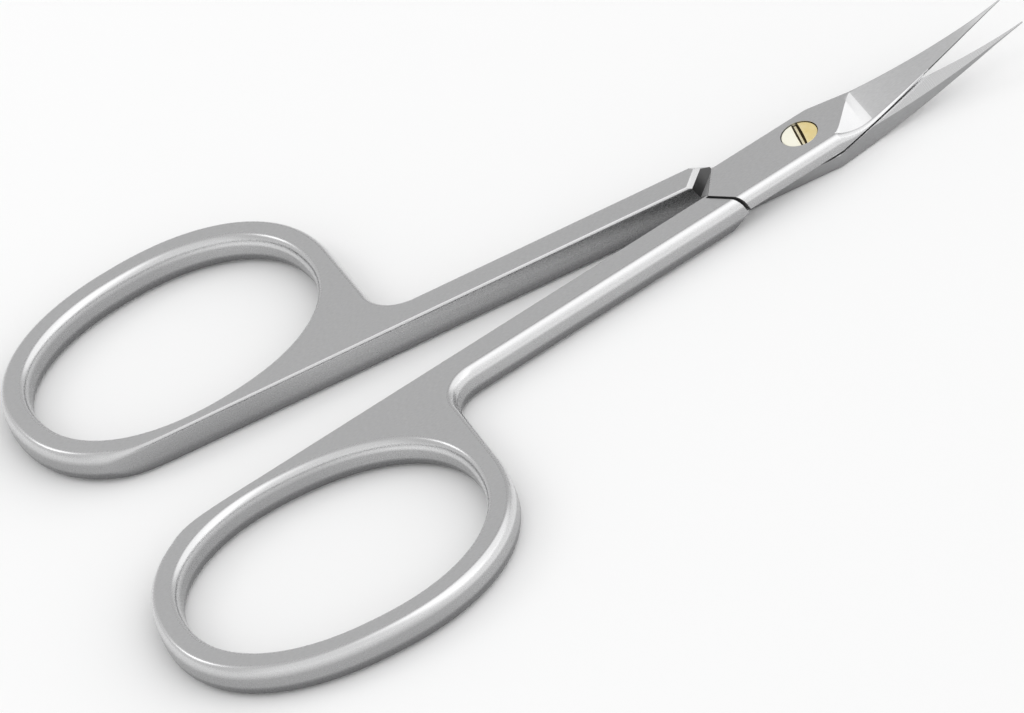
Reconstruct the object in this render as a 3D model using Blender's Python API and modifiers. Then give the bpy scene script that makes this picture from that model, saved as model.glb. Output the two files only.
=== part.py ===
"""Curved nail scissors: two forged halves crossed on one slotted screw.

Metres, +Z up.  The screw's axis is the Z axis, the blades point along +X and
the flat back of the joint lies on z = 0.  Each half is modelled closed, with
its shank along the X axis, and is then swung open on the screw.
"""
import math

import bmesh
import bpy
from mathutils import Matrix, Vector

# Overall layout, seen from above with the scissors closed
blade_reach = 0.02110          # screw axis to blade tip
bow_centre_back = 0.05450      # screw axis to the middle of a bow, along the shank
open_half_angle = math.radians(5.43)

# Bow: a soft oval, a little squarer than an ellipse and turned slightly
finger_hole_half_length = 0.01315
finger_hole_half_width = 0.01062
bow_rim = 0.00242
bow_closing_rim = 0.00178      # finger hole to the closing line, at its narrowest
bow_power = 2.22
bow_tilt = math.radians(-9.65)
bow_corner_power = 34.0        # how tightly the rim turns off the closing line

# Shank
shank_width = 0.00289
shank_thickness = 0.00300
closing_gap = 0.00010          # left between the two shanks when closed
crotch_radius = 0.00320        # hollow corner between bow and shank
web_front_back = 0.03825       # screw axis to the front of the web beside the bow
web_start_angle = math.radians(-8.0)

# Rounded edges, deeper than they are wide, and the narrow chamfer inside
edge_width = 0.00062
edge_depth = 0.00092
closing_chamfer = 0.00017
edge_blend = 0.00110           # distance over which chamfer grows to full edge
edge_segments = 3

# Joint pads, one half thickness each and slightly proud of the shanks
pad_rise = 0.00015
pad_spine_side = 0.00247       # screw axis to the pad's side below the spine
pad_front = 0.00210            # screw axis to where the ricasso begins
pad_edge_width = 0.00040
pad_edge_depth = 0.00055
pad_tip_back = 0.00985         # screw axis to the pad's pointed rear end
pad_tip_out = 0.00040
pad_notch_angle = math.radians(50.0)   # rear edge that faces the other half's shoulder
pad_step_angle = math.radians(54.0)    # rear edge that steps down to its own shank
pad_rear_lean = 0.00044        # the rear edge leans in under the pad by this much
shank_end_back = 0.00520       # the shank runs this far in under its own pad
layer_gap = 0.00010            # between the two halves on their meeting face

# Shoulder where the shank steps down to the meeting face
shoulder_angle = math.radians(53.0)
shoulder_clearance = 0.00015
shoulder_wall_run = 0.00042
shoulder_chamfer_run = 0.00036
shoulder_chamfer_depth = 0.00042
shoulder_corner_back = 0.00795     # where the polished-off outer corner meets the side
shoulder_corner_rise = 0.00045
shoulder_corner_heading = math.radians(46.0)
shoulder_corner_pitch = math.radians(54.0)

# Blades
ricasso_end = 0.00590
blade_root_width = 0.00140     # closing line to spine at the ricasso's end
blade_tip_half_width = 0.00006
blade_tip_thickness = 0.00015
blade_land_root = 0.00034      # flat left along the cutting edge
blade_land_tip = 0.00010
spine_chamfer = 0.00012
curl_start = 0.00320           # the meeting face is flat out to this radius
blade_lift = 0.00230           # rise of the tips over the joint
curl_power = 1.80
edge_sweep_power = 1.50
taper_power = 1.25
kink_power = 1.35
kink_margin = 0.02
ricasso_power = 2.0

# Screw
head_radius = 0.00158
head_rim = 0.00050
screw_shaft_radius = 0.00105
head_bevel = 0.00005
slot_width = 0.00066
slot_floor_width = 0.00030
slot_depth = 0.00045
slot_angle = math.radians(80.5)
running_clearance = 0.00006
seat_clearance = 0.00004

# Working allowances for the cuts, and the fineness of the curved work
trim = 0.00040
overrun = 0.00500
relief_overlap = 0.00050
weld_distance = 0.00001
bow_steps = 66
hole_steps = 48
crotch_steps = 8
ricasso_steps = 6
blade_steps = 11
turn_steps = 48
screw_steps = 40
bowl_rings = 12
smooth_angle = math.radians(38.0)

# Sizes that follow from those above
joint_height = pad_rise + shank_thickness / 2
pad_thickness = pad_rise + shank_thickness / 2
bow_centre_out = finger_hole_half_width + bow_closing_rim
shank_inner = closing_gap / 2
shank_outer = shank_inner + shank_width
pad_edge_side = shank_outer + pad_rise
bowl_radius = blade_reach + trim

STEEL = (0.62, 0.62, 0.63, 1.0)
STEEL_ROUGHNESS = 0.32
GOLD = (0.86, 0.68, 0.30, 1.0)
GOLD_ROUGHNESS = 0.28


def share_between(x, start, end):
    return min(1.0, max(0.0, (x - start) / (end - start)))


def meeting_height(radius):
    """Height of the face between the halves: a shallow bowl turned about the screw."""
    run = max(0.0, (radius - curl_start) / (blade_reach - curl_start))
    return joint_height + blade_lift * run ** curl_power


def oval_radius(angle, half_length, half_width):
    """Distance from a bow's middle to its soft oval, in one direction."""
    turned = angle - bow_tilt
    along = abs(math.cos(turned)) / half_length
    across = abs(math.sin(turned)) / half_width
    return (along ** bow_power + across ** bow_power) ** (-1.0 / bow_power)


def around_bow(angle, radius):
    x = -bow_centre_back + radius * math.cos(angle)
    y = -bow_centre_out + radius * math.sin(angle)
    return (x, y)


def rim_radius(angle):
    """The bow's outer wall, cut back softly where it meets the closing line."""
    half_length = finger_hole_half_length + bow_rim
    half_width = finger_hole_half_width + bow_rim
    oval = oval_radius(angle, half_length, half_width)
    rise = math.sin(angle)
    if rise <= 0:
        return oval
    line = (bow_centre_out - shank_inner) / rise
    blend = oval ** -bow_corner_power + line ** -bow_corner_power
    return blend ** (-1.0 / bow_corner_power)


def half_outline():
    """Bow and shank of one half from above, its closing edge along the X axis."""
    points = [(-shank_end_back, -shank_inner)]
    start = math.pi / 2
    sweep = 2 * math.pi - start + web_start_angle
    for step in range(bow_steps + 1):
        angle = start + sweep * step / bow_steps
        points.append(around_bow(angle, rim_radius(angle)))
    centre_x = crotch_radius - web_front_back
    centre_y = -shank_outer - crotch_radius
    for step in range(crotch_steps + 1):
        angle = math.pi - math.pi / 2 * step / crotch_steps
        x = centre_x + crotch_radius * math.cos(angle)
        y = centre_y + crotch_radius * math.sin(angle)
        points.append((x, y))
    points.append((-shank_end_back, -shank_outer))
    return points


def finger_hole_outline():
    points = []
    for step in range(hole_steps):
        angle = 2 * math.pi * step / hole_steps
        radius = oval_radius(angle, finger_hole_half_length, finger_hole_half_width)
        points.append(around_bow(angle, radius))
    return points


def as_cutter(obj):
    cutters.objects.link(obj)
    obj.hide_render = True
    obj.display_type = "WIRE"
    return obj


def evaluated_mesh(obj):
    bpy.context.view_layer.update()
    graph = bpy.context.evaluated_depsgraph_get()
    return bpy.data.meshes.new_from_object(obj.evaluated_get(graph))


def prism(name, corners, travel):
    """A flat polygon given by its corners, extruded along one vector."""
    work = bmesh.new()
    face = work.faces.new([work.verts.new(corner) for corner in corners])
    grown = bmesh.ops.extrude_face_region(work, geom=[face])
    moved = [item for item in grown["geom"] if isinstance(item, bmesh.types.BMVert)]
    bmesh.ops.translate(work, verts=moved, vec=travel)
    bmesh.ops.recalc_face_normals(work, faces=work.faces)
    mesh = bpy.data.meshes.new(name)
    work.to_mesh(mesh)
    work.free()
    return as_cutter(bpy.data.objects.new(name, mesh))


def turned(name, profile, steps):
    """A profile in the XZ plane, run down its outer side, turned about Z."""
    mesh = bpy.data.meshes.new(name)
    edges = [(index, index + 1) for index in range(len(profile) - 1)]
    mesh.from_pydata([(x, 0.0, z) for x, z in profile], edges, [])
    obj = bpy.data.objects.new(name, mesh)
    screw = obj.modifiers.new("turn", "SCREW")
    screw.steps = steps
    screw.render_steps = steps
    screw.use_merge_vertices = True
    screw.merge_threshold = weld_distance
    return obj


def boolean(obj, tool, operation):
    step = obj.modifiers.new(operation.lower() + "_" + tool.name, "BOOLEAN")
    step.operation = operation
    step.object = tool
    step.solver = "EXACT"
    return step


def freeze(obj):
    """Apply the modelling steps and shade the rounds smooth."""
    mesh = evaluated_mesh(obj)
    obj.modifiers.clear()
    obj.data = mesh
    mesh.shade_smooth()
    mesh.set_sharp_from_angle(angle=smooth_angle)


def paint(obj, name, colour, roughness):
    material = bpy.data.materials.new(name)
    material.use_nodes = True
    shader = material.node_tree.nodes["Principled BSDF"]
    shader.inputs["Base Color"].default_value = colour
    shader.inputs["Metallic"].default_value = 1.0
    shader.inputs["Roughness"].default_value = roughness
    obj.data.materials.clear()
    obj.data.materials.append(material)


def loft(name, sections):
    """A closed body through a row of unlike sections."""
    work = bmesh.new()
    rings = []
    for outline in sections:
        rings.append([work.verts.new(point) for point in outline])
    for near, far in zip(rings, rings[1:]):
        for index in range(len(near)):
            after = (index + 1) % len(near)
            work.faces.new((near[index], near[after], far[after], far[index]))
    work.faces.new(rings[0])
    work.faces.new(rings[-1])
    work.normal_update()
    bmesh.ops.recalc_face_normals(work, faces=work.faces)
    bmesh.ops.triangulate(work, faces=work.faces)
    mesh = bpy.data.meshes.new(name)
    work.to_mesh(mesh)
    work.free()
    return bpy.data.objects.new(name, mesh)


def edge_levels():
    """From the lower face up: which face, share of the inset, share of the depth below it."""
    upper = []
    for step in range(edge_segments + 1):
        turn = math.pi / 2 * step / edge_segments
        upper.append((1, 1.0 - math.cos(turn), 1.0 - math.sin(turn)))
    lower = [(-1, inset, drop) for _, inset, drop in reversed(upper)]
    return lower + upper


def rounded_stack(outline, widths, side):
    """Outlines of a plate one above the other, drawn in by each point's own edge width."""
    steepness = edge_depth / edge_width
    sections = []
    for face, inset, drop in edge_levels():
        section = []
        for index, (x, y) in enumerate(outline):
            before = Vector(outline[index - 1])
            after = Vector(outline[(index + 1) % len(outline)])
            run = (after - before).normalized()
            shift = inset * widths[index]
            height = face * (shank_thickness / 2 - drop * widths[index] * steepness)
            section.append((x - run.y * shift, side * (y + run.x * shift), joint_height + height))
        sections.append(section)
    return sections


def bow_and_shank(name, side):
    """Rounded all round except along the closing edge, which has only a narrow chamfer."""
    outline = half_outline()
    widths = []
    for x, y in outline:
        growth = share_between(-y, shank_inner, shank_inner + edge_blend)
        widths.append(closing_chamfer + (edge_width - closing_chamfer) * growth)
    plate = loft(name, rounded_stack(outline, widths, side))
    parts.objects.link(plate)

    hole = finger_hole_outline()
    stack = rounded_stack(hole[::-1], [edge_width] * len(hole), side)
    below = [(x, y, z - trim) for x, y, z in stack[0]]
    above = [(x, y, z + trim) for x, y, z in stack[-1]]
    cutter = as_cutter(loft(name + "_finger_hole", [below] + stack + [above]))
    boolean(plate, cutter, "DIFFERENCE")
    return plate


def pad_and_blade_sections(side):
    """Cross-sections from behind the pad to the blade's tip, outer face by outer face."""
    stations = [-pad_tip_back - trim]
    for step in range(ricasso_steps + 1):
        stations.append(pad_front + (ricasso_end - pad_front) * step / ricasso_steps)
    for step in range(1, blade_steps + 1):
        stations.append(ricasso_end + (blade_reach - ricasso_end) * step / blade_steps)
    return [section(x, side) for x in stations]


def section(x, side):
    """One cross-section: bottom, wall, rounded edge, kink, spine and bottom again."""
    grind = share_between(x, pad_front, ricasso_end)
    along = share_between(x, ricasso_end, blade_reach)
    swept = share_between(x, pad_front, blade_reach)
    meeting = meeting_height(max(0.0, x))
    pad_face = joint_height + side * pad_thickness
    root_thickness = pad_thickness - side * (meeting_height(ricasso_end) - joint_height)

    left = max(0.0, 1.0 - swept) ** edge_sweep_power
    edge_y = -blade_tip_half_width - (pad_edge_side - blade_tip_half_width) * left
    if along > 0:
        spine_y = blade_root_width + (blade_tip_half_width - blade_root_width) * along
        fade = (1.0 - along) ** taper_power
        thickness = blade_tip_thickness + (root_thickness - blade_tip_thickness) * fade
        spine_z = meeting + side * thickness
    else:
        spine_y = pad_spine_side + (blade_root_width - pad_spine_side) * grind
        thickness = pad_thickness
        spine_z = pad_face

    land = blade_land_root + (blade_land_tip - blade_land_root) * along
    drop = (1.0 - grind) ** ricasso_power
    edge_height = land + (pad_thickness - land) * drop
    round_width = land / 2 + (pad_edge_width - land / 2) * drop
    round_depth = land / 2 + (pad_edge_depth - land / 2) * drop
    edge_z = meeting + side * edge_height

    chamfer = min(spine_chamfer, thickness / 2)
    flat_y = spine_y - chamfer
    shoulder_y = edge_y + round_width
    share = max(kink_margin, min(1.0 - kink_margin, grind ** kink_power))
    kink_y = shoulder_y + (flat_y - shoulder_y) * share
    if along > 0:
        kink_z = edge_z + (spine_z - edge_z) * share
    else:
        kink_z = pad_face
    corner = 1.0 - math.sqrt(0.5)
    points = [
        (edge_y, meeting - side * trim),
        (edge_y, edge_z - side * round_depth),
        (edge_y + round_width * corner, edge_z - side * round_depth * corner),
        (shoulder_y, edge_z),
        (kink_y, kink_z),
        (flat_y, spine_z),
        (spine_y, spine_z - side * chamfer),
        (spine_y, meeting - side * trim),
    ]
    return [(x, side * y, z) for y, z in points]


def pad_and_blade(name, side):
    body = as_cutter(loft(name, pad_and_blade_sections(side)))
    boolean(body, pad_rear(name + "_rear", side), "DIFFERENCE")
    return body


def pad_rear(name, side):
    """Everything behind the two slanting, leaning walls that meet at the pad's rear tip."""
    reach = pad_edge_side + overrun
    plan = [
        (-pad_tip_back, -pad_tip_out),
        (-pad_tip_back + reach / math.tan(pad_notch_angle), -pad_tip_out + reach),
        (-pad_tip_back - overrun, -pad_tip_out + reach),
        (-pad_tip_back - overrun, -pad_tip_out - reach),
        (-pad_tip_back + reach / math.tan(pad_step_angle), -pad_tip_out - reach),
    ]
    sections = []
    for depth in (-trim, pad_thickness + 2 * trim):
        lean = pad_rear_lean * depth / pad_thickness
        height = joint_height + side * (pad_thickness - depth)
        sections.append([(x + lean, side * y, height) for x, y in plan])
    return as_cutter(loft(name, sections))


def shoulder_relief(name, side):
    """Clears the other half's pad behind the screw, up to the shank's slanting shoulder."""
    slope = math.tan(shoulder_angle)
    foot_back = pad_tip_back + shoulder_clearance / math.sin(shoulder_angle)
    meeting = joint_height + side * layer_gap / 2
    face = joint_height - side * shank_thickness / 2
    levels = [
        (meeting, 0.0),
        (face + side * shoulder_chamfer_depth, shoulder_wall_run),
        (face, shoulder_wall_run + shoulder_chamfer_run),
        (face - side * overrun, shoulder_wall_run + shoulder_chamfer_run),
    ]
    reach = pad_edge_side + overrun
    sections = []
    for height, retreat in levels:
        middle = -foot_back - retreat / math.sin(shoulder_angle)
        outer = middle + (reach + pad_tip_out) / slope
        inner = middle - (reach - pad_tip_out) / slope
        plan = [
            (inner, reach),
            (outer, -reach),
            (relief_overlap, -reach),
            (relief_overlap, reach),
        ]
        sections.append([(x, side * y, height) for x, y in plan])
    return as_cutter(loft(name, sections))


def shoulder_corner(name, side):
    """The polished-off outer corner of the shoulder, as one slanting cut."""
    flat = math.cos(shoulder_corner_pitch)
    upright = math.sin(shoulder_corner_pitch)
    heading = Vector((math.cos(shoulder_corner_heading), -math.sin(shoulder_corner_heading), 0.0))
    outward = heading * flat + Vector((0.0, 0.0, -upright))
    uphill = heading * -upright + Vector((0.0, 0.0, -flat))
    sideways = outward.cross(uphill)
    corner = Vector((-shoulder_corner_back, -shank_outer, -shoulder_corner_rise))
    low = corner - uphill * trim
    high = corner + uphill * overrun
    far = overrun
    plan = [low - sideways * far, low + sideways * far, high + sideways * far, high - sideways * far]
    lift = Vector((0.0, 0.0, joint_height))
    turned_over = Matrix.Diagonal((1.0, side, side, 1.0))
    corners = [turned_over @ point + lift for point in plan]
    return prism(name, corners, turned_over @ outward * overrun)


def meeting_relief(name, side):
    """Clears the other half's blade in front of the screw, down to the turned meeting face."""
    gap = side * layer_gap / 2
    face = [(0.0, meeting_height(0.0) + gap)]
    for ring in range(bowl_rings + 1):
        radius = curl_start + (bowl_radius - curl_start) * ring / bowl_rings
        face.append((radius, meeting_height(radius) + gap))
    far = joint_height - side * (pad_thickness + overrun)
    if side > 0:
        profile = face + [(bowl_radius, far), (0.0, far)]
    else:
        far = far + blade_lift
        profile = [(0.0, far), (bowl_radius, far)] + face[::-1]
    bowl = as_cutter(turned(name, profile, turn_steps))
    wide = bowl_radius + overrun
    low = -pad_thickness - 2 * overrun
    high = joint_height + pad_thickness + blade_lift + 2 * overrun
    corners = [(0.0, -wide, low), (0.0, wide, low), (0.0, wide, high), (0.0, -wide, high)]
    boolean(bowl, prism(name + "_behind", corners, (-wide, 0.0, 0.0)), "DIFFERENCE")
    return bowl


def screw_profile(growth, below, above):
    """Countersunk screw from its top to its end, grown all round by a clearance."""
    top = joint_height + pad_thickness
    rim = top - head_rim - growth
    cone = rim - (head_radius - screw_shaft_radius)
    head = head_radius + growth
    shaft = screw_shaft_radius + growth
    profile = [(0.0, top + above)]
    if growth == 0:
        profile.append((head - head_bevel, top))
        profile.append((head, top - head_bevel))
    else:
        profile.append((head, top + above))
    profile += [(head, rim), (shaft, cone), (shaft, -below), (0.0, -below)]
    return profile


def scissor_half(name, side):
    """Bow, shank, pad and blade as one forging; side is 1 for the upper half, -1 for the lower."""
    half = bow_and_shank(name, side)
    boolean(half, pad_and_blade(name + "_blade_loft", side), "UNION")
    boolean(half, shoulder_relief(name + "_shoulder", side), "DIFFERENCE")
    boolean(half, shoulder_corner(name + "_corner", side), "DIFFERENCE")
    boolean(half, meeting_relief(name + "_meeting_face", side), "DIFFERENCE")
    if side > 0:
        bore = screw_profile(running_clearance, overrun, overrun)
    else:
        shaft = screw_shaft_radius + seat_clearance
        bore = [(0.0, overrun), (shaft, overrun), (shaft, -overrun), (0.0, -overrun)]
    boolean(half, as_cutter(turned(name + "_bore", bore, screw_steps)), "DIFFERENCE")
    freeze(half)
    half.rotation_euler = (0.0, 0.0, side * open_half_angle)
    paint(half, name + "_steel", STEEL, STEEL_ROUGHNESS)


def pivot_screw():
    """Slotted countersunk screw, its head flush above and its end flush below."""
    screw = turned("pivot_screw", screw_profile(0.0, 0.0, 0.0), screw_steps)
    parts.objects.link(screw)
    top = joint_height + pad_thickness
    floor = top - slot_depth
    foot = slot_floor_width / 2
    lip = slot_width / 2 + (slot_width - slot_floor_width) / 2 * trim / slot_depth
    run = head_radius + overrun
    corners = [(-run, -foot, floor), (-run, foot, floor), (-run, lip, top + trim), (-run, -lip, top + trim)]
    slot = prism("screw_slot", corners, (2 * run, 0.0, 0.0))
    slot.rotation_euler = (0.0, 0.0, slot_angle)
    boolean(screw, slot, "DIFFERENCE")
    freeze(screw)
    paint(screw, "screw_gold", GOLD, GOLD_ROUGHNESS)


for old in list(bpy.data.objects):
    bpy.data.objects.remove(old)

parts = bpy.data.collections.new("nail_scissors")
cutters = bpy.data.collections.new("cutters")
bpy.context.scene.collection.children.link(parts)
bpy.context.scene.collection.children.link(cutters)

scissor_half("upper_half", 1)
scissor_half("lower_half", -1)
pivot_screw()
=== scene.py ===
"""Curved nail scissors: two satin steel halves crossed on one slotted gold screw.

Metres, in the frame of the CAD model: the screw's axis is Z, the blades point
along +X and the flat back of the joint lies on z = 0.  Each half is modelled
closed, with its shank along the X axis, and is then swung open on the screw.
"""

import math

import bmesh
import bpy
from mathutils import Matrix, Vector


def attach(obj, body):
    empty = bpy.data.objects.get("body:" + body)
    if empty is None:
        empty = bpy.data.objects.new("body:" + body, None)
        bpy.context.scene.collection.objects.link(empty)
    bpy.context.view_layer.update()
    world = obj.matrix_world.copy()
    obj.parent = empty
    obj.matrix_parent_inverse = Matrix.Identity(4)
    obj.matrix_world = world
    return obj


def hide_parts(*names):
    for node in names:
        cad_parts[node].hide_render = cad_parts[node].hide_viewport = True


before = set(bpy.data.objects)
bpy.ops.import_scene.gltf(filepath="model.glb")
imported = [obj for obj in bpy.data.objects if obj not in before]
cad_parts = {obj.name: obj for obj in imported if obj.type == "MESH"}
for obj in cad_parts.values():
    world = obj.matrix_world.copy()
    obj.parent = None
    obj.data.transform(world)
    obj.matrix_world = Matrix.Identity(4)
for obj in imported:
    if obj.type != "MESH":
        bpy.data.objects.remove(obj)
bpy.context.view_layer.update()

# Overall layout, seen from above with the scissors closed
blade_reach = 0.02110
bow_centre_back = 0.05450
open_half_angle = math.radians(5.43)

# Bow: a soft oval, a little squarer than an ellipse and turned slightly
finger_hole_half_length = 0.01315
finger_hole_half_width = 0.01062
bow_rim = 0.00240
bow_closing_rim = 0.00178
bow_power = 2.22
bow_tilt = math.radians(-9.65)
bow_corner_power = 34.0

# Shank
shank_width = 0.00289
shank_thickness = 0.00300
closing_gap = 0.00010
crotch_radius = 0.00320
web_front_back = 0.03825
web_start_angle = math.radians(-8.0)

# Rounded edges, deeper than they are wide, and the narrow chamfer inside
edge_width = 0.00062
edge_depth = 0.00108
closing_chamfer = 0.00022
edge_blend = 0.00110
edge_segments = 9

# The closing wall leans in below a ridge left where the forging dies met
ridge_height = 0.00114
ridge_lean = 0.00015

# Joint pads, one half thickness each and slightly proud of the shanks
pad_rise = 0.00015
pad_spine_side = 0.00247
pad_front = 0.00210
pad_edge_width = 0.00056
pad_edge_depth = 0.00090
pad_tip_back = 0.00985
pad_tip_out = 0.00040
pad_notch_angle = math.radians(50.0)
pad_step_angle = math.radians(54.0)
pad_rear_lean = 0.00044
pad_notch_bevel = 0.00022
pad_step_bevel = 0.00004
shank_end_back = 0.00520
layer_gap = 0.00010
step_groove_start = 0.00005
step_groove_width = 0.00017
step_groove_depth = 0.00013

# Shoulder where the shank steps down to the meeting face
shoulder_angle = math.radians(53.0)
shoulder_clearance = 0.00015
shoulder_wall_run = 0.00033
shoulder_chamfer_run = 0.00045
shoulder_chamfer_depth = 0.00030
shoulder_end_back = 0.01300
shoulder_corner_back = 0.00795
shoulder_corner_rise = 0.00045
shoulder_corner_heading = math.radians(46.0)
shoulder_corner_pitch = math.radians(54.0)

# Blades
ricasso_end = 0.00590
blade_root_width = 0.00140
blade_tip_half_width = 0.00005
blade_tip_thickness = 0.000145
blade_land_root = 0.00034
blade_land_tip = 0.00010
spine_round = 0.00024
spine_segments = 4
spine_share = 0.45
land_roundness = 0.9
land_roundness_end = 0.01250
pad_spine_lean = 0.00068
curl_start = 0.00320
blade_lift = 0.00230
curl_power = 1.80
edge_sweep_power = 1.50
taper_power = 1.25
kink_power = 1.35
kink_margin = 0.02
ricasso_power = 2.0
blade_edge_segments = 6

# Screw
head_radius = 0.00158
head_rim = 0.00050
head_dome = 0.00006
screw_shaft_radius = 0.00105
head_bevel = 0.00005
slot_width = 0.00064
slot_floor_width = 0.00020
slot_depth = 0.00030
slot_angle = math.radians(80.5)
running_clearance = 0.00006
seat_clearance = 0.00004

# Working allowances for the cuts, and the fineness of the curved work
trim = 0.00040
overrun = 0.00500
relief_overlap = 0.00050
weld_distance = 0.000001
bow_steps = 200
hole_steps = 160
crotch_steps = 26
ricasso_steps = 20
blade_steps = 60
turn_steps = 192
screw_steps = 96
bowl_rings = 40
dome_rings = 12
smooth_angle = math.radians(30.0)
weighing_scale = 1000.0

# How far a face's normal leans one way, where that tells one part of the work from another
level_slope = 0.99
slanting_wall_along = 0.5
slanting_wall_across = 0.3
slot_wall_slope = 0.3
satin_slope = 0.9995
meeting_slope = 0.9
blade_slope_rear = 0.85
blade_slope_front = 0.5
land_slope = 0.8
flank_slope = 0.5
flank_tilt = 0.6
scoop_slope = 0.2
corner_tilt = 0.5
groove_slope = 0.5

# Sizes that follow from those above
pad_thickness = pad_rise + shank_thickness / 2
joint_height = pad_thickness
pad_top = joint_height + pad_thickness
bow_centre_out = finger_hole_half_width + bow_closing_rim
shank_inner = closing_gap / 2
shank_outer = shank_inner + shank_width
pad_edge_side = shank_outer + pad_rise
bowl_radius = blade_reach + trim


def share_between(x, start, end):
    """How far a value has come from start to end, from 0 to 1."""
    return min(1.0, max(0.0, (x - start) / (end - start)))


def meeting_height(radius):
    """Height of the face between the halves: a shallow bowl turned about the screw."""
    run = max(0.0, (radius - curl_start) / (blade_reach - curl_start))
    return joint_height + blade_lift * run ** curl_power


def oval_radius(angle, half_length, half_width):
    """Distance from a bow's middle to its soft oval, in one direction."""
    turned = angle - bow_tilt
    along = abs(math.cos(turned)) / half_length
    across = abs(math.sin(turned)) / half_width
    return (along ** bow_power + across ** bow_power) ** (-1.0 / bow_power)


def around_bow(angle, radius):
    """A point seen from the bow's middle."""
    x = -bow_centre_back + radius * math.cos(angle)
    y = -bow_centre_out + radius * math.sin(angle)
    return (x, y)


def rim_radius(angle):
    """The bow's outer wall, cut back softly where it meets the closing line."""
    oval = oval_radius(angle, finger_hole_half_length + bow_rim, finger_hole_half_width + bow_rim)
    rise = math.sin(angle)
    if rise <= 0:
        return oval
    line = (bow_centre_out - shank_inner) / rise
    blend = oval ** -bow_corner_power + line ** -bow_corner_power
    return blend ** (-1.0 / bow_corner_power)


def half_outline():
    """Bow and shank of one half from above, its closing edge along the X axis."""
    points = [(-shank_end_back, -shank_inner)]
    start = math.pi / 2
    sweep = 2 * math.pi - start + web_start_angle
    for step in range(bow_steps + 1):
        angle = start + sweep * step / bow_steps
        points.append(around_bow(angle, rim_radius(angle)))
    centre_x = crotch_radius - web_front_back
    centre_y = -shank_outer - crotch_radius
    for step in range(crotch_steps + 1):
        angle = math.pi - math.pi / 2 * step / crotch_steps
        x = centre_x + crotch_radius * math.cos(angle)
        y = centre_y + crotch_radius * math.sin(angle)
        points.append((x, y))
    points.append((-shank_end_back, -shank_outer))
    return points


def finger_hole_outline():
    points = []
    for step in range(hole_steps):
        angle = 2 * math.pi * step / hole_steps
        radius = oval_radius(angle, finger_hole_half_length, finger_hole_half_width)
        points.append(around_bow(angle, radius))
    return points


def circle(radius, height, steps):
    """A level ring of points, none of them on the X axis."""
    points = []
    for step in range(steps):
        angle = 2 * math.pi * (step + 0.5) / steps
        points.append((radius * math.cos(angle), radius * math.sin(angle), height))
    return points


def clear_selection():
    if bpy.context.object and bpy.context.object.mode != "OBJECT":
        bpy.ops.object.mode_set(mode="OBJECT")
    bpy.ops.object.select_all(action="DESELECT")


def take_up(piece):
    """Make one piece the only one selected, and the active one."""
    clear_selection()
    piece.select_set(True)
    bpy.context.view_layer.objects.active = piece


def start_editing(piece):
    take_up(piece)
    bpy.ops.object.mode_set(mode="EDIT")
    bpy.ops.mesh.select_all(action="SELECT")


def stop_editing():
    bpy.ops.object.mode_set(mode="OBJECT")


def skinned(name, sections):
    """A grid drawn over a row of cross-sections, its seam welded and its ends filled."""
    clear_selection()
    around = len(sections[0])
    bpy.ops.mesh.primitive_grid_add(x_subdivisions=around, y_subdivisions=len(sections) - 1)
    piece = bpy.context.object
    piece.name = name
    places = [point for outline in sections for point in outline + outline[:1]]
    for vertex, place in zip(piece.data.vertices, places, strict=True):
        vertex.co = place
    start_editing(piece)
    bpy.ops.mesh.remove_doubles(threshold=weld_distance)
    bpy.ops.mesh.fill_holes(sides=0)
    bpy.ops.mesh.normals_make_consistent(inside=False)
    stop_editing()
    return piece


def combine(piece, tool, operation):
    """Join or cut a piece with a tool body, which is used up."""
    take_up(piece)
    step = piece.modifiers.new("combine", "BOOLEAN")
    step.operation = operation
    step.solver = "EXACT"
    step.object = tool
    bpy.ops.object.modifier_apply(modifier=step.name)
    bpy.data.objects.remove(tool)


def edge_levels():
    """From the lower face up: which face, share of the inset, share of the depth below it."""
    upper = []
    for step in range(edge_segments + 1):
        turn = math.pi / 2 * step / edge_segments
        upper.append((1, 1.0 - math.cos(turn), 1.0 - math.sin(turn)))
    lower = [(-1, inset, drop) for _, inset, drop in reversed(upper)]
    return lower + upper


def rounded_stack(outline, widths, side, lean=0.0):
    """Outlines of a plate one above the other, drawn in by each point's own edge width."""
    steepness = edge_depth / edge_width
    bottom = joint_height - shank_thickness / 2
    levels = edge_levels()
    levels.insert(len(levels) // 2, None)
    sections = []
    for level in levels:
        section = []
        for index, (x, y) in enumerate(outline):
            before = Vector(outline[index - 1])
            after = Vector(outline[(index + 1) % len(outline)])
            run = (after - before).normalized()
            if level:
                face, inset, drop = level
                shift = inset * widths[index]
                depth = drop * widths[index] * steepness
                height = joint_height + face * (shank_thickness / 2 - depth)
            else:
                shift = 0.0
                height = bottom + ridge_height
            closing = 1.0 - share_between(-y, shank_inner, shank_inner + edge_blend)
            shift += lean * closing * share_between(height, bottom + ridge_height, bottom)
            section.append((x - run.y * shift, side * (y + run.x * shift), height))
        sections.append(section)
    return sections


def bow_and_shank(name, side):
    """Rounded all round except along the closing edge, which has only a narrow chamfer."""
    outline = half_outline()
    widths = []
    for x, y in outline:
        growth = share_between(-y, shank_inner, shank_inner + edge_blend)
        widths.append(closing_chamfer + (edge_width - closing_chamfer) * growth)
    plate = skinned(name, rounded_stack(outline, widths, side, ridge_lean))

    hole = finger_hole_outline()
    stack = rounded_stack(hole[::-1], [edge_width] * len(hole), side)
    below = [(x, y, z - trim) for x, y, z in stack[0]]
    above = [(x, y, z + trim) for x, y, z in stack[-1]]
    combine(plate, skinned("finger_hole", [below] + stack + [above]), "DIFFERENCE")
    return plate


def cutting_edge(x):
    """How far across the blade's edge lies at a distance from the screw."""
    left = max(0.0, 1.0 - share_between(x, pad_front, blade_reach)) ** edge_sweep_power
    return -blade_tip_half_width - (pad_edge_side - blade_tip_half_width) * left


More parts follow.
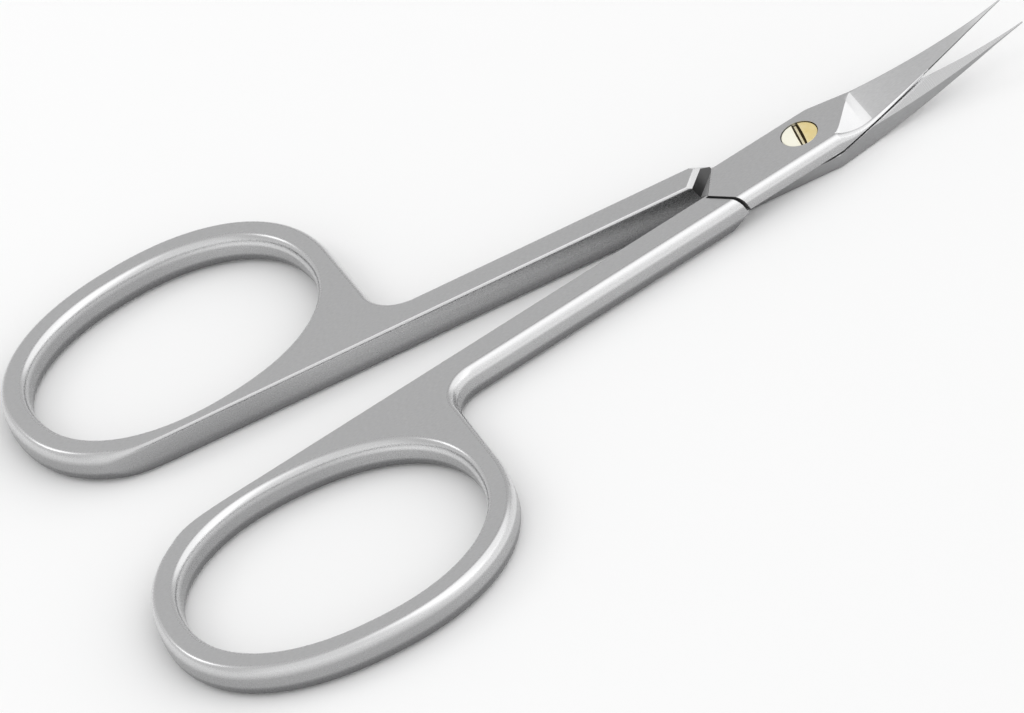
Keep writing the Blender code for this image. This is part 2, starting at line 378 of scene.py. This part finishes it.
def blade_section(x, side):
    """One cross-section: bottom, wall, rounded edge, kink, spine and bottom again."""
    grind = share_between(x, pad_front, ricasso_end)
    along = share_between(x, ricasso_end, blade_reach)
    meeting = meeting_height(max(0.0, x))
    pad_face = joint_height + side * pad_thickness
    root_thickness = pad_thickness - side * (meeting_height(ricasso_end) - joint_height)

    edge_y = cutting_edge(x)
    if along > 0:
        spine_y = blade_root_width + (blade_tip_half_width - blade_root_width) * along
        fade = (1.0 - along) ** taper_power
        thickness = blade_tip_thickness + (root_thickness - blade_tip_thickness) * fade
        spine_z = meeting + side * thickness
    else:
        spine_y = pad_spine_side + (blade_root_width - pad_spine_side) * grind
        thickness = pad_thickness
        spine_z = pad_face

    land = blade_land_root + (blade_land_tip - blade_land_root) * along
    drop = (1.0 - grind) ** ricasso_power
    edge_height = land + (pad_thickness - land) * drop
    rounded = land_roundness * (1.0 - share_between(x, ricasso_end, land_roundness_end))
    land_round = land * max(rounded, spine_round / pad_thickness)
    round_width = land_round + (pad_edge_width - land_round) * drop
    round_depth = land_round + (pad_edge_depth - land_round) * drop
    edge_z = meeting + side * edge_height

    back_round = min(spine_round, land_roundness * thickness, spine_share * (spine_y - edge_y))
    flat_y = spine_y - back_round
    shoulder_y = edge_y + round_width
    share = max(kink_margin, min(1.0 - kink_margin, grind ** kink_power))
    kink_y = shoulder_y + (flat_y - shoulder_y) * share
    if along > 0:
        kink_z = edge_z + (spine_z - edge_z) * share
    else:
        kink_z = pad_face
    foot_y = spine_y + pad_spine_lean * (1.0 - grind)
    points = [(edge_y, meeting - side * trim)]
    for step in range(blade_edge_segments + 1):
        turn = math.pi / 2 * step / blade_edge_segments
        y = edge_y + round_width * (1.0 - math.cos(turn))
        points.append((y, edge_z - side * round_depth * (1.0 - math.sin(turn))))
    points.append((kink_y, kink_z))
    for step in range(spine_segments + 1):
        turn = math.pi / 2 * step / spine_segments
        z = spine_z - side * back_round * (1.0 - math.cos(turn))
        points.append((flat_y + back_round * math.sin(turn), z))
    points.append((foot_y, meeting - side * trim))
    return [(x, side * y, z) for y, z in points]


def pad_and_blade(name, side):
    """Pad, scooped ricasso and curved blade, its rear end cut by two leaning walls."""
    stations = [-pad_tip_back - trim]
    for step in range(ricasso_steps + 1):
        stations.append(pad_front + (ricasso_end - pad_front) * step / ricasso_steps)
    for step in range(1, blade_steps + 1):
        stations.append(ricasso_end + (blade_reach - ricasso_end) * step / blade_steps)
    body = skinned(name, [blade_section(x, side) for x in stations])

    start_editing(body)
    tip = Vector((-pad_tip_back, -side * pad_tip_out, joint_height + side * pad_thickness))
    lean = Vector((pad_rear_lean, 0.0, -side * pad_thickness))
    for angle in (pad_notch_angle, -pad_step_angle):
        run = Vector((math.cos(angle), side * math.sin(angle), 0.0))
        outward = run.cross(lean).normalized()
        if outward.x > 0:
            outward = -outward
        bpy.ops.mesh.select_all(action="SELECT")
        bpy.ops.mesh.bisect(
            plane_co=tip, plane_no=outward,
            use_fill=True, clear_outer=True, threshold=weld_distance)
    bpy.ops.mesh.select_mode(type="EDGE")
    for towards, width in ((1, pad_notch_bevel), (-1, pad_step_bevel)):
        bpy.ops.mesh.select_all(action="DESELECT")
        work = bmesh.from_edit_mesh(body.data)
        for edge in work.edges:
            wall = any(
                face.normal.x < -slanting_wall_along
                and face.normal.y * side * towards > slanting_wall_across
                for face in edge.link_faces)
            flat = any(face.normal.z * side > level_slope for face in edge.link_faces)
            edge.select_set(wall and flat)
        bmesh.update_edit_mesh(body.data)
        bpy.ops.mesh.bevel(offset=width, segments=1, affect="EDGES")
    bpy.ops.mesh.select_all(action="SELECT")
    bpy.ops.mesh.normals_make_consistent(inside=False)
    stop_editing()
    return body


def step_groove(side):
    """The narrow groove at the foot of the step where the pad meets its own shank."""
    along = Vector((math.cos(pad_step_angle), -side * math.sin(pad_step_angle), 0.0))
    outward = Vector((-math.sin(pad_step_angle), -side * math.cos(pad_step_angle), 0.0))
    tip = Vector((-pad_tip_back, -side * pad_tip_out, 0.0))
    end = (shank_outer - pad_tip_out) / math.sin(pad_step_angle)
    face = joint_height + side * shank_thickness / 2
    floor = face - side * step_groove_depth
    wall = end - step_groove_depth
    knee = wall - edge_width
    bend = floor - side * edge_depth
    plan = [
        (0.0, floor), (knee, floor), (wall, bend), (wall, joint_height),
        (end + trim, joint_height), (end + trim, face + side * trim), (0.0, face + side * trim)]
    sections = []
    for shift in (-step_groove_start, step_groove_width - step_groove_start):
        section = []
        for run, z in plan:
            drop = side * (joint_height - z) / pad_thickness + 1.0
            lean = Vector((pad_rear_lean * drop, 0.0, z))
            section.append(tuple(tip + along * run + outward * shift + lean))
        sections.append(section)
    return skinned("step_groove", sections)


def shoulder_relief(side):
    """Clears the other half's pad behind the screw, up to the shank's slanting shoulder."""
    slope = math.tan(shoulder_angle)
    foot_back = pad_tip_back + shoulder_clearance / math.sin(shoulder_angle)
    meeting = joint_height + side * layer_gap / 2
    face = joint_height - side * shank_thickness / 2
    levels = [
        (meeting, 0.0),
        (face + side * shoulder_chamfer_depth, shoulder_wall_run),
        (face, shoulder_wall_run + shoulder_chamfer_run),
        (face - side * overrun, shoulder_wall_run + shoulder_chamfer_run),
    ]
    reach = pad_edge_side + overrun
    sections = []
    for height, retreat in levels:
        middle = -foot_back - retreat / math.sin(shoulder_angle)
        outer = middle + (reach + pad_tip_out) / slope
        inner = middle - (reach - pad_tip_out) / slope
        plan = [(inner, reach), (outer, -reach), (relief_overlap, -reach), (relief_overlap, reach)]
        sections.append([(x, side * y, height) for x, y in plan])
    return skinned("shoulder_relief", sections)


def shoulder_corner(side):
    """The polished-off outer corner of the shoulder, as one slanting cut."""
    flat = math.cos(shoulder_corner_pitch)
    upright = math.sin(shoulder_corner_pitch)
    heading = Vector((math.cos(shoulder_corner_heading), -math.sin(shoulder_corner_heading), 0.0))
    outward = heading * flat + Vector((0.0, 0.0, -upright))
    uphill = heading * -upright + Vector((0.0, 0.0, -flat))
    sideways = outward.cross(uphill)
    corner = Vector((-shoulder_corner_back, -shank_outer, -shoulder_corner_rise))
    low = corner - uphill * trim
    high = corner + uphill * overrun
    across = sideways * overrun
    plan = [low - across, low + across, high + across, high - across]
    lift = Vector((0.0, 0.0, joint_height))
    turned_over = Matrix.Diagonal((1.0, side, side, 1.0))
    near = [tuple(turned_over @ point + lift) for point in plan]
    far = [tuple(turned_over @ (point + outward * overrun) + lift) for point in plan]
    return skinned("shoulder_corner", [near, far])


def meeting_relief(side):
    """Clears the other half's blade in front of the screw, down to the turned meeting face."""
    gap = side * layer_gap / 2
    rings = []
    for ring in range(bowl_rings + 1):
        radius = curl_start + (bowl_radius - curl_start) * ring / bowl_rings
        rings.append(circle(radius, meeting_height(radius) + gap, turn_steps))
    far = joint_height - side * (pad_thickness + overrun)
    rings.append(circle(bowl_radius, far, turn_steps))
    bowl = skinned("meeting_face", rings)
    start_editing(bowl)
    bpy.ops.mesh.bisect(
        plane_co=(0.0, 0.0, 0.0), plane_no=(-1.0, 0.0, 0.0),
        use_fill=True, clear_outer=True, threshold=weld_distance)
    bpy.ops.mesh.select_all(action="SELECT")
    bpy.ops.mesh.normals_make_consistent(inside=False)
    stop_editing()
    return bowl


def bore(side):
    """The screw's hole, wide and countersunk in the upper half, a close fit in the lower."""
    if side < 0:
        shaft = screw_shaft_radius + seat_clearance
        levels = [(shaft, -overrun), (shaft, overrun)]
    else:
        head = head_radius + running_clearance
        shaft = screw_shaft_radius + running_clearance
        rim = pad_top - head_rim - running_clearance
        cone = rim - (head_radius - screw_shaft_radius)
        levels = [(head, pad_top + overrun), (head, rim), (shaft, cone), (shaft, -overrun)]
    return skinned("bore", [circle(radius, height, screw_steps) for radius, height in levels])


def finish_half(piece, side):
    """Swing the half open on the screw and smooth its rounded work.

    Weighting the normals by face area fails on faces this small, so it is done enlarged.
    """
    start_editing(piece)
    bpy.ops.mesh.remove_doubles(threshold=weld_distance)
    bpy.ops.mesh.dissolve_degenerate(threshold=weld_distance)
    stop_editing()
    piece.data.transform(Matrix.Rotation(side * open_half_angle, 4, "Z"))
    piece.data.transform(Matrix.Scale(weighing_scale, 4))
    take_up(piece)
    bpy.ops.object.shade_smooth_by_angle(angle=smooth_angle)
    weigh = piece.modifiers.new("weigh", "WEIGHTED_NORMAL")
    weigh.keep_sharp = True
    bpy.ops.object.modifier_apply(modifier=weigh.name)
    piece.data.transform(Matrix.Scale(1.0 / weighing_scale, 4))


def scissor_half(name, side):
    """Bow, shank, pad and blade as one forging; side is 1 for the upper half, -1 for the lower."""
    half = bow_and_shank(name, side)
    combine(half, pad_and_blade("pad_and_blade", side), "UNION")
    combine(half, step_groove(side), "DIFFERENCE")
    combine(half, shoulder_relief(side), "DIFFERENCE")
    combine(half, shoulder_corner(side), "DIFFERENCE")
    combine(half, meeting_relief(side), "DIFFERENCE")
    combine(half, bore(side), "DIFFERENCE")
    finish_half(half, side)
    return half


def slotted_screw():
    """Countersunk screw with a faintly domed, slotted head, its end flush below."""
    clear_selection()
    cone_depth = head_radius - screw_shaft_radius
    shaft_top = pad_top - head_rim - cone_depth
    bpy.ops.mesh.primitive_cylinder_add(
        vertices=screw_steps, radius=screw_shaft_radius, depth=shaft_top,
        location=(0.0, 0.0, shaft_top / 2))
    screw = bpy.context.object
    screw.name = "slotted_screw"
    bpy.ops.object.transform_apply(location=True, rotation=True, scale=True)
    start_editing(screw)
    bpy.ops.mesh.select_mode(type="FACE")
    bpy.ops.mesh.select_all(action="DESELECT")
    work = bmesh.from_edit_mesh(screw.data)
    for face in work.faces:
        face.select_set(face.normal.z > level_slope)
    bmesh.update_edit_mesh(screw.data)
    widen = head_radius / screw_shaft_radius
    bpy.ops.mesh.extrude_region_move(TRANSFORM_OT_translate={"value": (0.0, 0.0, cone_depth)})
    bpy.ops.transform.resize(value=(widen, widen, 1.0), center_override=(0.0, 0.0, 0.0))
    rim_height = head_rim - head_dome - head_bevel
    bpy.ops.mesh.extrude_region_move(TRANSFORM_OT_translate={"value": (0.0, 0.0, rim_height)})
    bpy.ops.mesh.inset(thickness=head_bevel, depth=0.0)
    bpy.ops.transform.translate(value=(0.0, 0.0, head_bevel))
    radius = head_radius - head_bevel
    for ring in range(dome_rings):
        inner = 1.0 - (ring + 1) / (dome_rings + 1)
        outer = 1.0 - ring / (dome_rings + 1)
        rise = head_dome * (outer ** 2 - inner ** 2)
        bpy.ops.mesh.inset(thickness=radius / (dome_rings + 1), depth=0.0)
        bpy.ops.transform.translate(value=(0.0, 0.0, rise))
    stop_editing()

    clear_selection()
    bpy.ops.mesh.primitive_cube_add(size=1.0, location=(0.0, 0.0, pad_top))
    slot = bpy.context.object
    slot.scale = (2 * overrun, slot_width, 2 * slot_depth)
    bpy.ops.object.transform_apply(location=True, rotation=True, scale=True)
    start_editing(slot)
    bpy.ops.mesh.subdivide(number_cuts=1)
    bpy.ops.mesh.select_mode(type="VERT")
    bpy.ops.mesh.select_all(action="DESELECT")
    work = bmesh.from_edit_mesh(slot.data)
    for point in work.verts:
        point.select_set(point.co.z < pad_top - slot_depth / 2)
    bmesh.update_edit_mesh(slot.data)
    narrow = slot_floor_width / slot_width
    bpy.ops.transform.resize(value=(1.0, narrow, 1.0), center_override=(0.0, 0.0, 0.0))
    stop_editing()
    slot.data.transform(Matrix.Rotation(slot_angle, 4, "Z"))
    combine(screw, slot, "DIFFERENCE")
    take_up(screw)
    bpy.ops.object.shade_smooth_by_angle(angle=smooth_angle)
    return screw


# Finishes, from noise in the piece's own space with so many grains to the metre
noise_span = (0.25, 0.75)
noise_detail = 3.0
even_grain = (1.0, 1.0, 1.0)
steel_blue = 0.004


def new_material(name, metallic=0.0):
    """A material, with its nodes, its links and its shader."""
    material = bpy.data.materials.new(name)
    material.use_nodes = True
    nodes = material.node_tree.nodes
    shader = nodes["Principled BSDF"]
    shader.inputs["Metallic"].default_value = metallic
    return material, nodes, material.node_tree.links, shader


def steel_grey(shade):
    """A grey with a trace of blue."""
    return (shade, shade, shade + steel_blue, 1.0)


def grain(nodes, links, stretch, count):
    """Fine noise in the piece's own space, drawn out along one direction."""
    place = nodes.new("ShaderNodeTexCoord")
    mapping = nodes.new("ShaderNodeMapping")
    mapping.inputs["Scale"].default_value = stretch
    noise = nodes.new("ShaderNodeTexNoise")
    noise.inputs["Scale"].default_value = count
    noise.inputs["Detail"].default_value = noise_detail
    links.new(place.outputs["Object"], mapping.inputs["Vector"])
    links.new(mapping.outputs["Vector"], noise.inputs["Vector"])
    return noise.outputs["Fac"]


def reach_along(nodes, links, vector, direction):
    """How far a place or a slope reaches in one direction."""
    reach = nodes.new("ShaderNodeVectorMath")
    reach.operation = "DOT_PRODUCT"
    reach.inputs[1].default_value = direction
    links.new(vector, reach.inputs[0])
    return reach.outputs["Value"]


def mapped(nodes, links, value, source, target, smooth=False):
    """Bring one span of values to another, each given by its two ends."""
    span = nodes.new("ShaderNodeMapRange")
    if smooth:
        span.interpolation_type = "SMOOTHSTEP"
    ends = ("From Min", "From Max", "To Min", "To Max")
    for name, value_there in zip(ends, source + target, strict=True):
        span.inputs[name].default_value = value_there
    links.new(value, span.inputs["Value"])
    return span.outputs["Result"]


def mixed(nodes, links, share, first, second):
    """Mix two colours, each given plainly or as what a node puts out."""
    blend = nodes.new("ShaderNodeMix")
    blend.data_type = "RGBA"
    links.new(share, blend.inputs["Factor"])
    for name, colour in (("A", first), ("B", second)):
        if isinstance(colour, tuple):
            blend.inputs[name].default_value = colour
        else:
            links.new(colour, blend.inputs[name])
    return blend.outputs["Result"]


# Satin lines run along the shank and are a few thousandths of a millimetre deep
satin_line_stretch = (1.0, 5.0, 5.0)
satin_line_count = 2600.0
satin_line_depth = 0.000003
satin_line_strength = 0.30
satin_cloud_stretch = (1.0, 2.0, 2.0)
satin_cloud_count = 300.0
satin_roughness = (0.30, 0.37)


def satin_steel(name, dark, light):
    """Belt-satined faces: an even grey with fine lines along the shank."""
    material, nodes, links, shader = new_material(name, metallic=1.0)
    fine = grain(nodes, links, satin_line_stretch, satin_line_count)
    cloudy = grain(nodes, links, satin_cloud_stretch, satin_cloud_count)
    lines = mapped(nodes, links, fine, noise_span, (0.0, 1.0))
    colour = mixed(nodes, links, lines, steel_grey(dark), steel_grey(light))
    roughness = mapped(nodes, links, cloudy, noise_span, satin_roughness)
    bump = nodes.new("ShaderNodeBump")
    bump.inputs["Distance"].default_value = satin_line_depth
    bump.inputs["Strength"].default_value = satin_line_strength
    links.new(fine, bump.inputs["Height"])
    links.new(colour, shader.inputs["Base Color"])
    links.new(roughness, shader.inputs["Roughness"])
    links.new(bump.outputs["Normal"], shader.inputs["Normal"])
    return material


# Painted shade and highlight on the edge finish: its brightness for a face that looks down (-1),
# sideways (0) or up (1)
bow_painted_shades = ((-0.60, 0.17), (-0.11, 0.23), (0.00, 0.38), (0.24, 0.58), (0.50, 0.64))
shank_painted_shades = ((-0.60, 0.20), (-0.11, 0.24), (0.00, 0.45), (0.13, 0.74), (0.60, 0.60))
# Where the bows' painted shading gives way to the shanks', whose painted bright band is wider
shank_highlight_span = (-0.05200, -0.04200)
edge_grain_stretch = (1.0, 2.0, 2.0)
edge_grain_count = 4000.0
edge_roughness = (0.265, 0.285)


def shade_by_slope(nodes, links, upward, shades):
    """Brightness that runs through a row of shades as the face turns from down to up."""
    ramp = nodes.new("ShaderNodeValToRGB")
    links.new(upward, ramp.inputs["Fac"])
    stops = ramp.color_ramp.elements
    while len(stops) < len(shades):
        stops.new(0.5)
    for stop, (slope, shade) in zip(stops, shades, strict=True):
        stop.position = (slope + 1.0) / 2
        stop.color = steel_grey(shade)
    return ramp.outputs["Color"]


def slope_shaded_edge():
    """Polished rounded edges with painted shade and highlight: darker on faces that look down or
    sideways, lighter on faces that look up, with a wider bright band along the shanks.
    """
    material, nodes, links, shader = new_material("polished_steel_edge_painted_shading", metallic=1.0)
    place = nodes.new("ShaderNodeTexCoord")
    lift = reach_along(nodes, links, place.outputs["Normal"], (0.0, 0.0, 1.0))
    upward = mapped(nodes, links, lift, (-1.0, 1.0), (0.0, 1.0))
    spot = reach_along(nodes, links, place.outputs["Object"], (1.0, 0.0, 0.0))
    forward = mapped(nodes, links, spot, shank_highlight_span, (0.0, 1.0), smooth=True)
    on_bow = shade_by_slope(nodes, links, upward, bow_painted_shades)
    on_shank = shade_by_slope(nodes, links, upward, shank_painted_shades)
    fine = grain(nodes, links, edge_grain_stretch, edge_grain_count)
    roughness = mapped(nodes, links, fine, noise_span, edge_roughness)
    links.new(mixed(nodes, links, forward, on_bow, on_shank), shader.inputs["Base Color"])
    links.new(roughness, shader.inputs["Roughness"])
    return material


# The wheel's rings lie round the screw's axis
ground_shades = ((0.845, 0.845, 0.85, 1.0), (0.87, 0.87, 0.875, 1.0))
ground_ring_count = 14000.0
ground_ring_detail = 2.0
ground_roughness = (0.265, 0.275)


def ground_face():
    """The meeting faces of the blades: bright, with fine rings left by the grinding wheel."""
    material, nodes, links, shader = new_material("ground_steel_face", metallic=1.0)
    place = nodes.new("ShaderNodeTexCoord")
    flatten = nodes.new("ShaderNodeVectorMath")
    flatten.operation = "MULTIPLY"
    flatten.inputs[1].default_value = (1.0, 1.0, 0.0)
    links.new(place.outputs["Object"], flatten.inputs[0])
    radius = nodes.new("ShaderNodeVectorMath")
    radius.operation = "LENGTH"
    links.new(flatten.outputs["Vector"], radius.inputs[0])
    rings = nodes.new("ShaderNodeTexNoise")
    rings.noise_dimensions = "1D"
    rings.inputs["Scale"].default_value = ground_ring_count
    rings.inputs["Detail"].default_value = ground_ring_detail
    links.new(radius.outputs["Value"], rings.inputs["W"])
    roughness = mapped(nodes, links, rings.outputs["Fac"], noise_span, ground_roughness)
    colour = mixed(nodes, links, rings.outputs["Fac"], *ground_shades)
    links.new(colour, shader.inputs["Base Color"])
    links.new(roughness, shader.inputs["Roughness"])
    return material


def patchy_finish(name, shades, count, roughness, metallic=0.0):
    """A dark finish that varies in even patches."""
    material, nodes, links, shader = new_material(name, metallic)
    patches = grain(nodes, links, even_grain, count)
    links.new(mixed(nodes, links, patches, *shades), shader.inputs["Base Color"])
    links.new(mapped(nodes, links, patches, noise_span, roughness), shader.inputs["Roughness"])
    return material


# Painted shade, near black, for the corners behind the joint and the cutting lands near the tips
painted_shade_colours = ((0.10, 0.10, 0.10, 1.0), (0.19, 0.19, 0.19, 1.0))
painted_shade_patch_count = 1200.0
painted_shade_roughness = (0.34, 0.46)


def painted_shade_steel():
    """Painted shade: near-black steel in patches, for the corners behind the joint and the cutting
    lands near the tips.
    """
    return patchy_finish(
        "painted_shade_joint_steel", painted_shade_colours, painted_shade_patch_count, painted_shade_roughness, metallic=1.0)


# Painted shade for the slot's walls
slot_shade_colours = ((0.020, 0.014, 0.006, 1.0), (0.060, 0.040, 0.015, 1.0))
slot_shade_patch_count = 3000.0
slot_wall_roughness = (0.40, 0.60)
slot_wall_gloss = 0.05


def slot_shadow():
    """Painted shade on the walls of the slot, a dark brown in patches."""
    material = patchy_finish("slot_wall_painted_shade", slot_shade_colours, slot_shade_patch_count, slot_wall_roughness)
    shader = material.node_tree.nodes["Principled BSDF"]
    shader.inputs["Specular IOR Level"].default_value = slot_wall_gloss
    return material


# The plating from its pale side, a painted sheen, to its golden side
pale_sheen_colour = (1.0, 0.98, 0.84, 1.0)
gold_shades = ((0.96, 0.74, 0.29, 1.0), (1.00, 0.88, 0.50, 1.0))
gold_cloud_count = 2200.0
gold_roughness = (0.50, 0.24)
gold_metallic = (0.25, 0.60)


def gold_plate():
    """Gold-coloured plating, with a painted pale sheen on one side of the slot."""
    material, nodes, links, shader = new_material("gold_plated_screw")
    place = nodes.new("ShaderNodeTexCoord")
    across = reach_along(
        nodes, links, place.outputs["Object"], (math.sin(slot_angle), -math.cos(slot_angle), 0.0))
    golden = mapped(nodes, links, across, (-slot_width, slot_width), (0.0, 1.0), smooth=True)
    cloudy = grain(nodes, links, even_grain, gold_cloud_count)
    plating = mixed(nodes, links, cloudy, *gold_shades)
    links.new(mixed(nodes, links, golden, pale_sheen_colour, plating), shader.inputs["Base Color"])
    for name, span in (("Roughness", gold_roughness), ("Metallic", gold_metallic)):
        links.new(mapped(nodes, links, golden, (0.0, 1.0), span), shader.inputs[name])
    return material


def in_painted_shade(place, slope, side):
    """Whether a face lies in the slanting shoulder's wall or in the groove at the pad's step,
    where shade is painted.
    """
    across = place.y * side
    height = (place.z - joint_height) * side
    slanting = slope.x > slanting_wall_along and slope.y * side > slanting_wall_across
    if height < 0 and slanting and abs(slope.z) < corner_tilt:
        return True
    leaning = pad_rear_lean * (1.0 - height / pad_thickness)
    behind_step = (
        (leaning - place.x - pad_tip_back) * math.sin(pad_step_angle)
        - (across + pad_tip_out) * math.cos(pad_step_angle))
    in_groove = -step_groove_start - weld_distance < behind_step < step_groove_width
    sunk = height < shank_thickness / 2 - weld_distance or slope.z * side < groove_slope
    return height > 0 and in_groove and sunk


def finish_of_face(face, side):
    """A face's finish by its place and slope, measured in the closed upper half's frame."""
    closed = Matrix.Rotation(-side * open_half_angle, 3, "Z")
    place = closed @ face.calc_center_median()
    slope = closed @ face.normal
    across = place.y * side
    facing_up = slope.z * side
    facing_spine = slope.y * side
    if place.x > 0 and place.xy.length > curl_start and facing_up < -meeting_slope:
        return "ground"
    # Blade faces get a darker copy of the satin, painted shade
    blade_slope = blade_slope_rear if place.x < land_roundness_end else blade_slope_front
    if place.x > ricasso_end and facing_up > blade_slope:
        return "blade"
    # Cutting lands near the tips that face away from the spine get the painted shade
    if place.x > land_roundness_end and facing_spine < -land_slope:
        return "scale"
    # Spine-side walls get a much darker copy of the satin, painted shade
    upright = abs(slope.z) < flank_tilt
    if place.x > -pad_tip_back and across > 0 and facing_spine > flank_slope and upright:
        return "flank"
    # The scoop gets a lighter copy of the satin, a painted highlight
    inside_edge = across > cutting_edge(place.x) + pad_edge_width
    if pad_front < place.x < ricasso_end and inside_edge and facing_spine < -scoop_slope:
        return "scoop"
    # Shoulder walls and the groove at the pad's step get the painted shade
    if -shoulder_end_back < place.x < -shank_end_back and in_painted_shade(place, slope, side):
        return "scale"
    if abs(slope.z) > satin_slope:
        return "flat"
    return "edge"


def dress_half(half, side, finishes):
    """Give every face of a half its finish, out of a set kept by name."""
    take_up(half)
    half.data.materials.clear()
    for finish in finishes.values():
        half.data.materials.append(finish)
    slots = {name: index for index, name in enumerate(finishes)}
    start_editing(half)
    work = bmesh.from_edit_mesh(half.data)
    for face in work.faces:
        face.material_index = slots[finish_of_face(face, side)]
    bmesh.update_edit_mesh(half.data)
    stop_editing()


def dress_screw(screw):
    """Gold plate all over, with painted shade on the slot's walls."""
    take_up(screw)
    screw.data.materials.clear()
    screw.data.materials.append(gold_plate())
    screw.data.materials.append(slot_shadow())
    start_editing(screw)
    work = bmesh.from_edit_mesh(screw.data)
    square = Matrix.Rotation(-slot_angle, 3, "Z")
    for face in work.faces:
        place = square @ face.calc_center_median()
        slope = square @ face.normal
        in_slot = place.z > pad_top - slot_depth and abs(place.y) < slot_width / 2
        face.material_index = int(in_slot and abs(slope.y) > slot_wall_slope)
    bmesh.update_edit_mesh(screw.data)
    stop_editing()


# Studio: a grey room and its screens, each by direction, core angle, rim angle and light
room_light = 0.60
studio_screens = (
    ((0.70, -0.36, 0.62), math.radians(34.0), math.radians(50.0), 0.80),
    ((-0.10, -0.95, 0.25), math.radians(40.0), math.radians(75.0), 0.36),
    ((-0.75, 0.45, 0.48), math.radians(25.0), math.radians(72.0), 0.12),
    ((0.0, 0.0, -1.0), math.radians(93.0), math.radians(108.0), 0.20),
)
lamp_place = Vector((-0.35, 0.25, 0.36))
lamp_size = 0.20
lamp_power = 0.20
floor_size = 6.0
floor_drop = 0.00005
paper_shade = (0.95, 0.95, 0.95, 1.0)
paper_roughness = 0.9


def studio():
    """A pale table among broad soft screens, with a soft lamp behind for the shadows."""
    world = bpy.data.worlds.new("studio")
    bpy.context.scene.world = world
    world.use_nodes = True
    nodes = world.node_tree.nodes
    links = world.node_tree.links
    place = nodes.new("ShaderNodeTexCoord")
    total = None
    for direction, core, rim, light in studio_screens:
        towards = reach_along(nodes, links, place.outputs["Generated"], direction)
        fade = (math.cos(rim), math.cos(core))
        screen = mapped(nodes, links, towards, fade, (0.0, light), smooth=True)
        joined = nodes.new("ShaderNodeMath")
        joined.operation = "ADD"
        joined.inputs[1].default_value = room_light
        if total:
            links.new(total, joined.inputs[1])
        links.new(screen, joined.inputs[0])
        total = joined.outputs["Value"]
    nodes["Background"].inputs["Color"].default_value = (1.0, 1.0, 1.0, 1.0)
    links.new(total, nodes["Background"].inputs["Strength"])

    clear_selection()
    bpy.ops.mesh.primitive_plane_add(size=floor_size, location=(0.0, 0.0, -floor_drop))
    floor = bpy.context.object
    floor.name = "floor"
    paper, _, _, shader = new_material("white_paper")
    shader.inputs["Base Color"].default_value = paper_shade
    shader.inputs["Roughness"].default_value = paper_roughness
    floor.data.materials.append(paper)

    bpy.ops.object.light_add(type="AREA", location=lamp_place)
    lamp = bpy.context.object
    lamp.name = "softbox"
    lamp.data.shape = "SQUARE"
    lamp.data.size = lamp_size
    lamp.data.energy = lamp_power
    lamp.rotation_euler = lamp_place.to_track_quat("Z", "Y").to_euler()


# Camera as the photograph was taken: direction, roll about the line of sight and distance
camera_azimuth = math.radians(-11.43)
camera_elevation = math.radians(37.68)
camera_roll = math.radians(-21.76)
camera_distance = 0.6084
camera_aside = -0.02523
camera_above = -0.01577
camera_lens = 254.1
camera_sensor = 36.0
sight_point = Vector((0.0, 0.0, -0.000665))


def camera():
    """A long lens at the photograph's viewing angle."""
    bpy.ops.object.camera_add()
    eye = bpy.context.object
    eye.name = "camera"
    turn = (
        Matrix.Rotation(camera_azimuth, 4, "Z")
        @ Matrix.Rotation(math.pi / 2 - camera_elevation, 4, "X")
        @ Matrix.Rotation(camera_roll, 4, "Z"))
    place = sight_point + turn.to_3x3() @ Vector((camera_aside, camera_above, camera_distance))
    eye.matrix_world = Matrix.Translation(place) @ turn
    eye.data.lens = camera_lens
    eye.data.sensor_width = camera_sensor
    bpy.context.scene.camera = eye


upper = scissor_half("upper_scissor_half", 1)
lower = scissor_half("lower_scissor_half", -1)
screw = slotted_screw()

half_finishes = {
    "edge": slope_shaded_edge(),
    "flat": satin_steel("satin_steel_flat", dark=0.57, light=0.67),
    "ground": ground_face(),
    # scale: painted shade for the joint's corners and the tips' cutting lands
    "scale": painted_shade_steel(),
    # blade: the satin in a darker copy, painted shade
    "blade": satin_steel("satin_steel_blade_painted_shade", dark=0.50, light=0.58),
    # scoop: the satin in a lighter copy, a painted highlight
    "scoop": satin_steel("satin_steel_scoop_painted_highlight", dark=0.73, light=0.78),
    # flank: the satin in a much darker copy, painted shade on the spine-side walls
    "flank": satin_steel("satin_steel_flank_painted_shade", dark=0.32, light=0.38),
}
dress_half(upper, 1, half_finishes)
dress_half(lower, -1, half_finishes)
dress_screw(screw)

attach(upper, "upper")
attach(lower, "lower")
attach(screw, "lower")
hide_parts("upper_half")
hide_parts("lower_half")
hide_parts("pivot_screw")

studio()
camera()

bpy.context.scene.view_settings.view_transform = "Standard"
